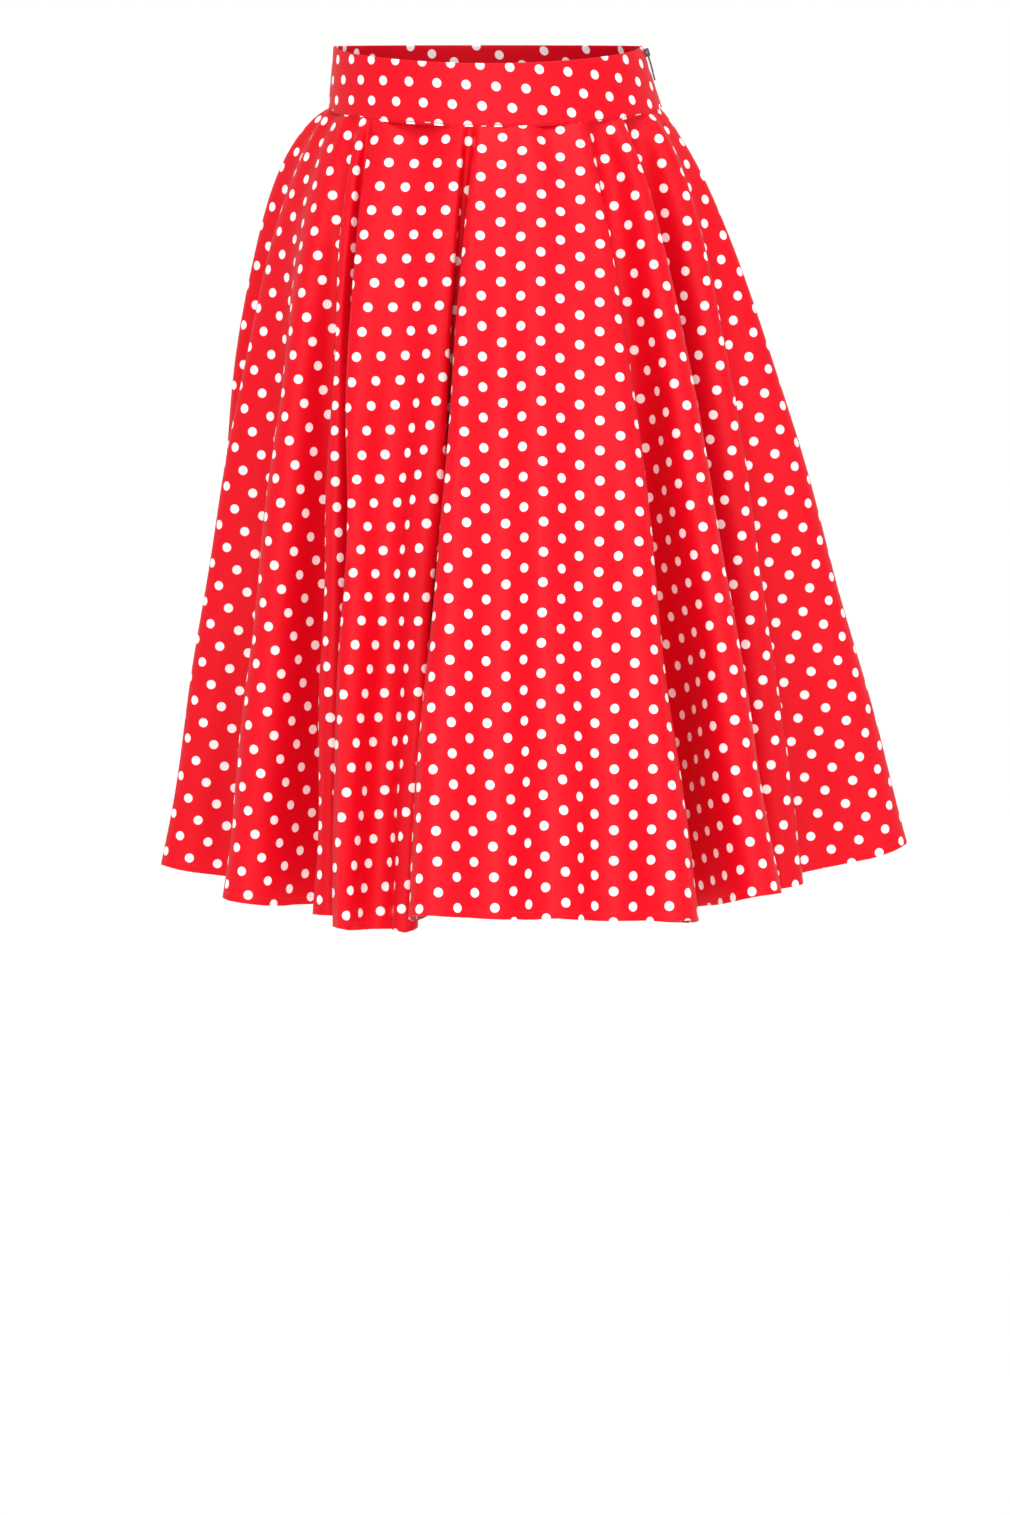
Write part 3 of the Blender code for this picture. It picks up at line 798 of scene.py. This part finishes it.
# The band's sides as (height above the seam, depth behind its face): the outer layer rolls over the top
# and meets the facing there.
def bandSection(inside):
    top, layer, edge = cut["bandHeight"], band["layer"], band["edgeRound"]
    above, below, middle = band["middleRows"]
    first, last, high = band["topRows"]
    even = np.linspace(above, top - below, middle)
    levels = np.concatenate([band["seamRows"], even, np.linspace(top - first, top - last, high)])
    start = cut["seamGap"] / 2
    side = [(start + level, 0.0) for level in levels]
    bends = band["bends"]
    bend = [(top - edge + edge * math.sin(angle), edge - edge * math.cos(angle)) for angle in bends]
    outer = side + bend + [(top, layer)]
    back = [(height, layer) for height, _ in side] + [(top - 2 * band["tuck"], layer)] * len(bend)
    back = back + [(top - band["tuck"], layer)]
    if not inside:
        return outer, back
    flip = [(height, 2 * layer - depth) for height, depth in outer]
    flip[0] = (-band["facingDrop"], 2 * layer)
    back[0] = (-band["facingDrop"], layer + band["facingEase"])
    return flip, back


def bandGrid(section, phis):
    rows = []
    for height, depth in reversed(section):
        roll = math.exp(-max(height, 0) / band["rollRun"]) * band["rollIn"] if depth == 0 else 0
        row = bandPoint(phis, height) - bandNormal(phis) * (depth + roll)
        for end, side in ((0, 1), (-1, -1)):
            beside = phis[end] == 90 and height > cut["bandHeight"] - band["notchHeight"]
            gap = band["notchGap"] / 2 if beside else cut["seamGap"] / 2
            direction = unit(row[end + side] - row[end])
            row[end] = row[end] + direction * gap
        rows.append(row)
    return np.array(rows)


# Cut across the grain as an arc, so the print runs sideways and straight while the seam curves.
def bandFlat(section, phis):
    flat = []
    spread = math.degrees(seamEllipse[1][-1] / band["flatRadius"]) / 360
    turn = np.radians((phis - band["grainCentre"]) * spread)
    low = band["flatRadius"] - band["rowLift"]
    for height, depth in reversed(section):
        radius = band["flatRadius"] - height - min(depth, band["layer"])
        flat.append(np.stack([radius * np.cos(turn) - low, radius * np.sin(turn) + band["alongShift"]], -1))
    return np.array(flat)


def addBands():
    face = printedSateen("bandSateen", *prints["face"])
    made = []
    for name, first, last in (("Front", -90, 90), ("Back", 90, 270)):
        phis = np.linspace(first, last, band["columns"] + 1)
        for kind, inside in (("band", False), ("facing", True)):
            outer, back = bandSection(inside)
            shown, hidden = bandGrid(outer, phis), bandGrid(back, phis)
            flat = bandFlat(outer, phis)
            bake = flat[:, :, ::-1] * (1, -1)
            if inside:
                shown, hidden, flat, bake = (grid[:, ::-1] for grid in (shown, hidden, flat, bake))
            made.append(clothPiece(kind + name, shown, hidden, flat, bake, (face, face)))
    return made


# A bead of thread: the distance to the next one, its size across, along and out of the row, and its
# slant about the outward direction, in radians. Every row of stitches gives its own in this order.
bead = {
    "Spacing": 0.0028,
    "Across": 0.0005,
    "Along": 0.0022,
    "Out": 0.0004,
    "Slant": 0.0,
}


# A row of beads along paths whose points carry an outward direction.
def threadRowTree():
    tree = bpy.data.node_groups.new("threadRow", "GeometryNodeTree")

    def socket(name, kind, way="INPUT"):
        return tree.interface.new_socket(name, in_out=way, socket_type="NodeSocket" + kind)

    def step(kind, inputs, **settings):
        return addNode(tree, kind, inputs, **settings)

    socket("Path", "Geometry")
    for name, value in bead.items():
        socket(name, "Float").default_value = value
    socket("Thread", "Material")
    socket("Row", "Geometry", "OUTPUT")
    start = step("NodeGroupInput", {})
    path = step("GeometryNodeMeshToCurve", {"Mesh": start["Path"]})
    spaced = {"Curve": path[0], "Length": start["Spacing"]}
    points = step("GeometryNodeCurveToPoints", spaced, mode="LENGTH")
    outward = step("GeometryNodeInputNamedAttribute", {"Name": "outward"}, data_type="FLOAT_VECTOR")
    axes = {"Primary Axis": outward[0], "Secondary Axis": points["Tangent"]}
    turn = step("FunctionNodeAxesToRotation", axes, primary_axis="Z", secondary_axis="Y")
    slant = step("FunctionNodeAxisAngleToRotation", {"Axis": (0, 0, 1), "Angle": start["Slant"]})
    both = {"Rotation": turn[0], "Rotate By": slant[0]}
    slanted = step("FunctionNodeRotateRotation", both, rotation_space="LOCAL")
    ball = step("GeometryNodeMeshUVSphere", {"Segments": 5, "Rings": 3, "Radius": 0.5})
    size = step("ShaderNodeCombineXYZ", dict(zip("XYZ", (start["Across"], start["Along"], start["Out"]))))
    sized = step("GeometryNodeTransform", {"Geometry": ball[0], "Scale": size[0]})
    spread = {"Points": points["Points"], "Instance": sized[0], "Rotation": slanted[0]}
    row = step("GeometryNodeInstanceOnPoints", spread)
    real = step("GeometryNodeRealizeInstances", {"Geometry": row[0]})
    smooth = step("GeometryNodeSetShadeSmooth", {0: real[0]})
    coated = step("GeometryNodeSetMaterial", {"Geometry": smooth[0], "Material": start["Thread"]})
    step("NodeGroupOutput", {"Row": coated[0]})
    return tree


def threadRow(name, tree, paths, sizes, material):
    points, edges, outward = [], [], []
    for line, normals in paths:
        first = len(points)
        points += line.tolist()
        outward += normals.tolist()
        edges += [(first + i, first + i + 1) for i in range(len(line) - 1)]
    mesh = newMesh(name + "Path", points, edges, [])
    directions = mesh.attributes.new("outward", "FLOAT_VECTOR", "POINT")
    directions.data.foreach_set("vector", np.array(outward).ravel())
    guide = addObject(name + "Path", mesh)
    modifier = guide.modifiers.new("threadRow", "NODES")
    modifier.node_group = tree
    inputs = {item.name: item.identifier for item in tree.interface.items_tree if item.in_out == "INPUT"}
    for key, value in zip(bead, sizes):
        modifier[inputs[key]] = value
    modifier[inputs["Thread"]] = material
    made = finishedMesh(guide, name)
    print(name, len(made.polygons), "faces")
    return place(name, made, "printed_cotton")


stitching = {
    "hemUp": 0.0060,
    "standOff": 0.00002,
    "loopStandOff": 0.00070,
    "ditchUp": 0.0006,
    "ditchStandOff": 0.00004,
    "ditchSpan": (-89, 269, 360),  # from, to and points
    "hem": (0.0028, 0.00042, 0.0021, 0.00036),
    "overlock": (0.0030, 0.0042, 0.00045, 0.00045, 0.35),
    "ditch": (0.0026, 0.00042, 0.0020, 0.00036),
}


def rowAt(drops, grid, drop):
    after = int(np.searchsorted(drops, drop))
    share = (drop - drops[after - 1]) / (drops[after] - drops[after - 1])
    return grid[after - 1] * (1 - share) + grid[after] * share


# The rows between the band's seam and the hem's turning.
def allowanceRows(drops):
    return slice(cloth["clearRows"], int(np.searchsorted(drops, cut["length"] - cloth["hemTurn"])))


def addStitches(tree, drops, phis, surface, normals):
    thread = sewingThread("spunThreadRed", ("#D80E1C", "#F01A28"))
    loops = sewingThread("overlockThreadRed", ("#E8505A", "#F27078"))
    level = cut["length"] - stitching["hemUp"]
    line, off = rowAt(drops, surface, level), stitching["standOff"]
    out = unit(rowAt(drops, normals, level))
    hems = [(line - out * off, out), (line - out * (cloth["hemWall"] + off), -out)]
    made = [threadRow("hemStitches", tree, hems, stitching["hem"], thread)]
    edges, rows = [], allowanceRows(drops)
    seam, count = leftSeam(phis), cloth["allowanceColumns"]
    depth = cloth["wall"] + stitching["loopStandOff"]
    for column in (count, seam - count, seam + count, phis.shape[1] - 1 - count):
        out = normals[rows, column]
        edges.append((surface[rows, column] - out * depth, -out))
    made.append(threadRow("overlockStitches", tree, edges, stitching["overlock"], loops))
    turns = np.linspace(*stitching["ditchSpan"])
    inward = -bandNormal(turns)
    depth = cut["bandWall"] + stitching["ditchStandOff"]
    ditch = bandPoint(turns, stitching["ditchUp"]) + inward * depth
    made.append(threadRow("facingStitches", tree, [(ditch, inward)], stitching["ditch"], thread))
    return made


# The two edges of each side seam, pressed open inside.
def addAllowances(drops, phis, surface, normals):
    reverse = bpy.data.materials["printedSateenReverse"]
    face = bpy.data.materials["printedSateenFace"]
    seam, end = leftSeam(phis), phis.shape[1] - 1
    count, rows = cloth["allowanceColumns"], allowanceRows(drops)
    radii = (seamRadius + drops[rows])[:, None]
    made = []
    # name, first column, the seam's place round the cut and the panel's centre
    for name, first, seamPhi, centre in (
        ("allowanceRightFront", 0, -90, 0),
        ("allowanceLeftFront", seam - count, 90, 0),
        ("allowanceLeftBack", seam, 90, 180),
        ("allowanceRightBack", end - count, 270, 180),
    ):
        columns = slice(first, first + count + 1)
        out = normals[rows, columns]
        near = surface[rows, columns] - out * (cloth["wall"] + cloth["allowanceGap"])
        far = near - out * cloth["wall"]
        flat = flatPoint(2 * seamPhi - phis[rows, columns] - centre, radii) * (1, -1)
        across = np.radians(phis[rows, columns] - seamPhi) * radii
        down = np.broadcast_to(-drops[rows][:, None] * cloth["allowanceBake"], across.shape)
        bake = np.stack([across, down], -1)
        made.append(clothPiece(name, near, far, flat, bake, (face, reverse)))
    return made


zipper = {
    "length": 0.180,
    "tapeWall": 0.0006,
    "tapeBehind": 0.0016,
    "tapeSplit": 0.00035,  # between the tapes' edges and the middle of the coil
    "tapePitch": 0.0025,
    "panelWall": 0.0012,  # of the solids, which the tape keeps clear of
    "settles": 0.02,  # the drop over which the tape comes in from behind the band
    "bandRows": 10,
    "bandEnd": 0.004,
    "firstRow": 3,  # of the skirt's own
    "coilStandOff": 0.0005,
    "hingeDrop": 0.0062,
    "hingeStandoff": 0.0024,
    "body": (0.0036, 0.0080, 0.0110),
    "neckWidth": 0.0024,
    "neckHeight": 0.0070,
    "neckReach": 0.0042,
    "hole": 0.0022,
    "pin": 0.0014,
    "pullLength": 0.0240,
    "pullWidth": 0.0056,
    "pullWall": 0.0012,
    "coil": (0.0013, 0.0034, 0.0009, 0.0012),
    "tapeStitch": (0.0028, 0.0004, 0.0021, 0.00034),
}


# Die-cast zinc with a baked dark enamel: smooth, hard, half-gloss, with slightly softer worn edges.
def darkEnamel():
    material, tree, shader = newMaterial("bakedEnamelDark")
    wear = speckle(tree, 700.0, 4.0)
    gloss = addNode(tree, "ShaderNodeMapRange", {"Value": wear, "To Min": 0.25, "To Max": 0.42})
    tone = blend(tree, wear, fromHex("#2A1A1C"), fromHex("#3A2628"))
    setInputs(tree, shader, {"Base Color": tone, "Roughness": gloss["Result"], "Coat Weight": 0.4})
    return material


# Woven polyester zip tape in a fine herringbone: matt, dyed a little deeper than the cloth.
def zipTapeWeave():
    material, tree, shader = newMaterial("herringboneTapeRed")
    place = addNode(tree, "ShaderNodeUVMap", uv_map="flat")["UV"]
    parts = addNode(tree, "ShaderNodeSeparateXYZ", {0: place})
    fold = addNode(tree, "ShaderNodeMath", {0: parts["X"], 1: 0.0022}, operation="PINGPONG")
    bent = addNode(tree, "ShaderNodeCombineXYZ", {"X": fold[0], "Y": parts["Y"]})
    wave = {"Vector": bent[0], "Scale": 330.0}
    rib = addNode(tree, "ShaderNodeTexWave", wave, bands_direction="DIAGONAL")["Fac"]
    relief = addNode(tree, "ShaderNodeBump", {"Height": rib, "Strength": 0.4, "Distance": 0.0003})
    tone = blend(tree, rib, fromHex("#A80A14"), fromHex("#C8121E"))
    setInputs(tree, shader, {"Base Color": tone, "Normal": relief[0], "Roughness": 0.8})
    return material


# Nylon coil: extruded monofilament, smooth and slightly waxy.
def nylonCoil():
    material, tree, shader = newMaterial("nylonCoilRed")
    tone = blend(tree, speckle(tree, 260.0), fromHex("#B40C16"), fromHex("#CC1822"))
    setInputs(tree, shader, {"Base Color": tone, "Roughness": 0.35})
    return material


def zipLine(drops, phis, surface, normals, columns):
    top = cut["bandHeight"] - zipper["hingeDrop"] - zipper["body"][2] / 2 - 4 * cut["seamGap"]
    last = int(np.searchsorted(drops, zipper["length"]))
    deeper = cut["bandWall"] - zipper["panelWall"]
    faces, outs, runs = [], [], []
    out = bandNormal(phis[0, columns])
    for height in np.linspace(top, zipper["bandEnd"], zipper["bandRows"]):
        faces.append(bandPoint(phis[0, columns], height) - out * (zipper["tapeBehind"] + deeper))
        outs.append(out)
        runs.append(-height)
    for row in range(zipper["firstRow"], last + 1):
        inset = zipper["tapeBehind"] + deeper * math.exp(-drops[row] / zipper["settles"])
        faces.append(surface[row, columns] - normals[row, columns] * inset)
        outs.append(normals[row, columns])
        runs.append(drops[row])
    return np.array(faces), np.array(outs), np.array(runs)


def addZip(tree, drops, phis, surface, normals):
    weave = zipTapeWeave()
    seam, count = leftSeam(phis), cloth["allowanceColumns"]
    columns = slice(seam - count, seam + count + 1)
    face, out, run = zipLine(drops, phis, surface, normals, columns)
    made = []
    # name, columns, the column at the coil and the step away from it
    for name, part, edge, away in (
        ("zipTapeFront", slice(0, count + 1), count, -1),
        ("zipTapeBack", slice(count, None), 0, 1),
    ):
        near, spread = face[:, part].copy(), out[:, part]
        near[:, edge] += unit(near[:, edge + away] - near[:, edge]) * zipper["tapeSplit"]
        across = np.cumsum(np.full(near.shape[1], zipper["tapePitch"])) * np.ones((len(run), 1))
        flat = np.stack([across, np.broadcast_to(-run[:, None], across.shape)], -1)
        far = near - spread * zipper["tapeWall"]
        made.append(clothPiece(name, near, far, flat, flat, (weave, weave), "zip_tape"))
    middle = face[:, count] - out[:, count] * (zipper["tapeWall"] + zipper["coilStandOff"])
    made.append(threadRow("zipCoil", tree, [(middle, -out[:, count])], zipper["coil"], nylonCoil()))
    sides = []
    for column in (1, 2 * count - 1):
        depth = zipper["tapeWall"] + stitching["standOff"]
        sides.append((face[:, column] - out[:, column] * depth, -out[:, column]))
    thread = bpy.data.materials["spunThreadRed"]
    made.append(threadRow("zipStitches", tree, sides, zipper["tapeStitch"], thread))
    return made


# The hinge's place on the band's outer face, and the band's tilt there.
def hingeFrame():
    high, low = bandPoint(90, cut["bandHeight"]), bandPoint(90, 0)
    wider, lower = low[0] - high[0], high[2] - low[2]
    tilt = math.atan2(wider, lower)
    share = zipper["hingeDrop"] / math.hypot(wider, lower)
    outward = np.array([math.cos(tilt), 0.0, math.sin(tilt)])
    return high + (low - high) * share + outward * zipper["hingeStandoff"], tilt


# A flat plate with rounded corners and a round hole, standing in the local Y-Z plane, its thickness
# along X. spans is (low y, high y, low z, high z).
def pierced(spans, radius, centre, hole, thickness, steps=8):
    lowY, highY, lowZ, highZ = spans
    corners = [(highY - radius, highZ - radius, 0), (lowY + radius, highZ - radius, 90)]
    corners += [(lowY + radius, lowZ + radius, 180), (highY - radius, lowZ + radius, 270)]
    outline = []
    for y, z, start in corners:
        for angle in np.radians(np.linspace(start, start + 90, steps + 1)):
            outline.append((y + radius * math.cos(angle), z + radius * math.sin(angle)))
    outline = np.array(outline)
    angles = np.unwrap(np.arctan2(outline[:, 1] - centre[1], outline[:, 0] - centre[0]))
    ring = np.stack([centre[0] + hole * np.cos(angles), centre[1] + hole * np.sin(angles)], 1)
    count = len(outline)
    points = []
    for x in (-thickness / 2, thickness / 2):
        for loop in (outline, ring):
            points += [(x, y, z) for y, z in loop]
    faces = []
    for i in range(count):
        j = (i + 1) % count
        faces.append((i, count + i, count + j, j))
        faces.append((2 * count + i, 2 * count + j, 3 * count + j, 3 * count + i))
        faces.append((i, j, 2 * count + j, 2 * count + i))
        faces.append((count + i, 3 * count + i, 3 * count + j, count + j))
    return points, faces


def roundBar(radius, length, sides=20):
    points, faces = [], []
    for y in (-length / 2, length / 2):
        for i in range(sides):
            turn = 2 * math.pi * i / sides
            points.append((radius * math.cos(turn), y, radius * math.sin(turn)))
    faces.append(tuple(range(sides)))
    faces.append(tuple(reversed(range(sides, 2 * sides))))
    for i in range(sides):
        j = (i + 1) % sides
        faces.append((j, i, sides + i, sides + j))
    return points, faces


def block(low, high, taper=1.0):
    points = []
    for z, width in ((low[2], taper), (high[2], 1.0)):
        for x, y in ((low[0], low[1]), (high[0], low[1]), (high[0], high[1]), (low[0], high[1])):
            points.append((x, y * width, z))
    faces = [(3, 2, 1, 0), (4, 5, 6, 7), (0, 1, 5, 4), (1, 2, 6, 5), (2, 3, 7, 6), (3, 0, 4, 7)]
    return points, faces


metal = {"bevelSegments": 2, "bevelAngle": 50, "sharpAngle": 45}


# Parts joined, turned about the hinge's axis by angle and set on seat, with their edges rounded.
def metalPiece(name, parts, seat, angle, bevel, body, material):
    points, faces = [], []
    for partPoints, partFaces in parts:
        first = len(points)
        points += partPoints
        faces += [tuple(first + corner for corner in face) for face in partFaces]
    x, y, z = np.array(points).T
    sine, cosine = math.sin(angle), math.cos(angle)
    turned = np.stack([x * cosine + z * sine, y, -x * sine + z * cosine], 1) + seat
    helper = addObject(name + "Rough", newMesh(name, turned.tolist(), [], faces, [material]))
    edge = helper.modifiers.new("edge", "BEVEL")
    edge.width = bevel
    edge.segments = metal["bevelSegments"]
    edge.limit_method = "ANGLE"
    edge.angle_limit = math.radians(metal["bevelAngle"])
    made = finishedMesh(helper, name)
    made.shade_smooth()
    made.set_sharp_from_angle(angle=math.radians(metal["sharpAngle"]))
    return place(name, made, "zip_metal", body)


slider = {
    "plate": 0.0010,
    "plateTaper": 0.72,
    "lap": 0.0006,  # how far the post and the neck run into the plates
    "postWidth": 0.0016,
    "postSpan": (0.0042, 0.0002),  # below the body's top
    "cheekLap": 0.0004,
    "cheekWidth": 0.0010,
    "cheekInset": 0.0006,
    "cheekTop": 0.0008,
    "cheekTaper": 0.74,
    "neckCorner": 0.0011,
    "bevel": 0.00025,
}


# Two tapered plates joined by a post and two cheeks, behind the seam, and the pierced neck through it.
def sliderParts():
    back = -(zipper["hingeStandoff"] + cut["bandWall"] + cut["seamGap"])
    deep, wide, tall = zipper["body"]
    front, half, top = back - deep, wide / 2, tall / 2
    plate, taper, lap = slider["plate"], slider["plateTaper"], slider["lap"]
    post, (postLow, postHigh) = slider["postWidth"] / 2, slider["postSpan"]
    parts = [
        block((back - plate, -half, -top), (back, half, top), taper),
        block((front, -half, -top), (front + plate, half, top), taper),
        block((front + lap, -post, top - postLow), (back - lap, post, top - postHigh)),
    ]
    cheek, join = slider["cheekWidth"] / 2, slider["cheekLap"]
    for side in (-1, 1):
        y = side * (half - slider["cheekInset"])
        low = (front + join, y - cheek, join - top)
        high = (back - join, y + cheek, top - slider["cheekTop"])
        parts.append(block(low, high, slider["cheekTaper"]))
    reach = zipper["neckReach"] - zipper["hingeStandoff"]
    spans = (back - lap, reach, -zipper["neckHeight"] / 2, zipper["neckHeight"] / 2)
    centre, hole = (0.0, 0.0), zipper["hole"] / 2
    points, faces = pierced(spans, slider["neckCorner"], centre, hole, zipper["neckWidth"])
    upright = ([(y, x, z) for x, y, z in points], [tuple(reversed(face)) for face in faces])
    return parts + [upright]


pullTab = {
    "armPast": 0.0022,  # how far the arms reach past the neck
    "armThick": 0.0014,
    "armLap": 0.0008,
    "corner": 0.0012,
    "holeUp": 0.0034,
    "holeRadius": 0.0013,
    "ridgeWidth": 0.0024,
    "ridgeEnd": 0.0168,
    "ridgeGap": 0.0012,
    "ridgeRise": 0.0003,
    "ridgeLap": 0.0002,
    "bevel": 0.0002,
}


# A pierced tab that hangs by two arms from the pin through the neck, with a ridge down its face.
def pullParts():
    gap = zipper["neckWidth"] + 2 * cut["seamGap"]
    arm = (zipper["pullWidth"] - gap) / 2
    reach = zipper["neckHeight"] / 2 + pullTab["armPast"]
    half, wall, length = zipper["pullWidth"] / 2, zipper["pullWall"], zipper["pullLength"]
    centre = (0.0, pullTab["holeUp"] - length)
    tab = pierced((-half, half, -length, -reach), pullTab["corner"], centre, pullTab["holeRadius"], wall)
    parts = [tab, roundBar(zipper["pin"] / 2, gap + arm)]
    thick = pullTab["armThick"] / 2
    for side in (-1, 1):
        y = side * (gap + arm) / 2
        low = (-thick, y - arm / 2, -reach - pullTab["armLap"])
        parts.append(block(low, (thick, y + arm / 2, zipper["pin"] / 2)))
    ridge = pullTab["ridgeWidth"] / 2
    low = (wall / 2 - pullTab["ridgeLap"], -ridge, -pullTab["ridgeEnd"])
    high = (wall / 2 + pullTab["ridgeRise"], ridge, -reach - pullTab["ridgeGap"])
    return parts + [block(low, high)]


def addSlider():
    enamel = darkEnamel()
    hinge, tilt = hingeFrame()
    clear = zipper["hingeStandoff"] - zipper["pullWall"] / 2 - 2 * cut["seamGap"]
    lean = math.asin(clear / zipper["pullLength"]) - tilt
    made = []
    for name, parts, angle, bevel, body in (
        ("zipSliderBody", sliderParts(), -tilt, slider["bevel"], "skirt"),
        ("zipPullTab", pullParts(), lean, pullTab["bevel"], "pull"),
    ):
        made.append(metalPiece(name, parts, hinge, angle, bevel, body, enamel))
    return made


addCamera()
addStudio()
print("studio ready")
drops, phis, surface = skirtSurface()
surface = ruffle(drops, phis, surface)
normals, along = ringNormals(surface)
print("skirt surface", surface.shape)
frontPanel, backPanel = addPanels(drops, phis, surface, normals, along)
bandFront, facingFront, bandBack, facingBack = addBands()
print("panels and band made")
threadTree = threadRowTree()
stitches = addStitches(threadTree, drops, phis, surface, normals)
allowances = addAllowances(drops, phis, surface, normals)
zipParts = addZip(threadTree, drops, phis, surface, normals)
sliderPiece, pullPiece = addSlider()
print("zip made")

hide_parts("front_panel")
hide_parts("back_panel")
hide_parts("waistband_front")
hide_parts("waistband_back")
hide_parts("zip_tape")
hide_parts("zip_slider")
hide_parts("zip_pull")
